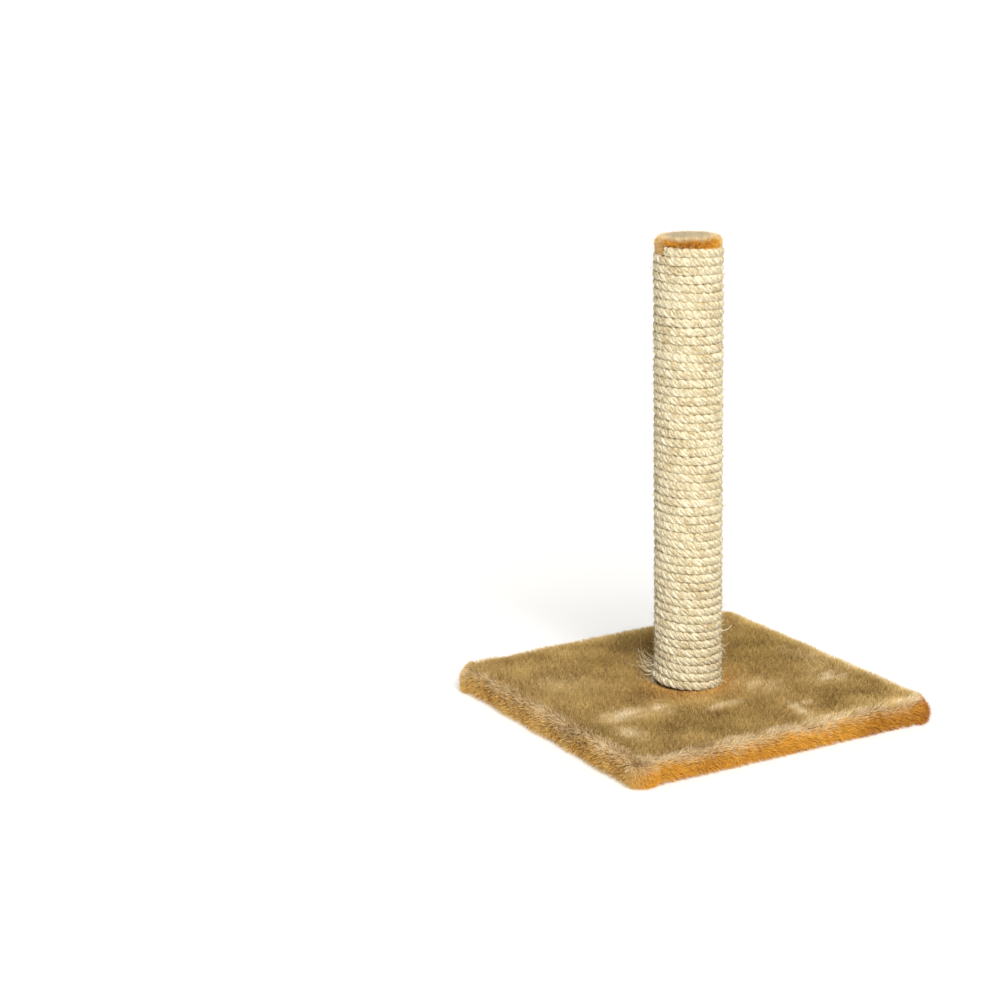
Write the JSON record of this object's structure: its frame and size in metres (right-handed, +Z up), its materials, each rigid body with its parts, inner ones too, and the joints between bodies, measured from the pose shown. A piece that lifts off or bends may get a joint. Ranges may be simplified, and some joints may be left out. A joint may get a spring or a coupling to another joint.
{
  "type": "cat scratching post",
  "caption": "Upright sisal-wound scratching post for cats on a square plush-covered base, with a plush cap, bolted together from below.",
  "frame": {"origin": "middle of the base's underside, on the floor", "axes": "+Z up along the post; X and Y along the base's sides"},
  "size_m": [0.3, 0.3, 0.4202],
  "materials": {
    "plush": "short-pile plush, beige to golden brown",
    "sisal": "natural three-strand sisal rope",
    "chipboard": "raw chipboard",
    "cardboard": "brown spiral-wound cardboard",
    "pine": "sawn, untreated",
    "zinc": "bright zinc-plated steel"
  },
  "bodies": {
    "root": {"base_board": "chipboard", "base_plush_cover": "plush", "post_bolt": "zinc", "bolt_washer": "zinc", "tee_nut": "zinc", "post_tube": "cardboard", "bottom_plug": "pine", "top_plug": "pine", "sisal_rope_upper": "sisal", "sisal_rope_middle": "sisal", "sisal_rope_lower": "sisal", "top_plush_cap": "plush", "hem_staple_front_1": "zinc", "hem_staple_front_2": "zinc", "hem_staple_front_3": "zinc", "hem_staple_front_4": "zinc", "hem_staple_front_5": "zinc", "hem_staple_right_1": "zinc", "hem_staple_right_2": "zinc", "hem_staple_right_3": "zinc", "hem_staple_right_4": "zinc", "hem_staple_right_5": "zinc", "hem_staple_back_1": "zinc", "hem_staple_back_2": "zinc", "hem_staple_back_3": "zinc", "hem_staple_back_4": "zinc", "hem_staple_back_5": "zinc", "hem_staple_left_1": "zinc", "hem_staple_left_2": "zinc", "hem_staple_left_3": "zinc", "hem_staple_left_4": "zinc", "hem_staple_left_5": "zinc", "bottom_plug_nail_1": "zinc", "bottom_plug_nail_2": "zinc", "bottom_plug_nail_3": "zinc", "bottom_plug_nail_4": "zinc", "top_plug_nail_1": "zinc", "top_plug_nail_2": "zinc", "top_plug_nail_3": "zinc", "top_plug_nail_4": "zinc"}
  },
  "joints": []
}
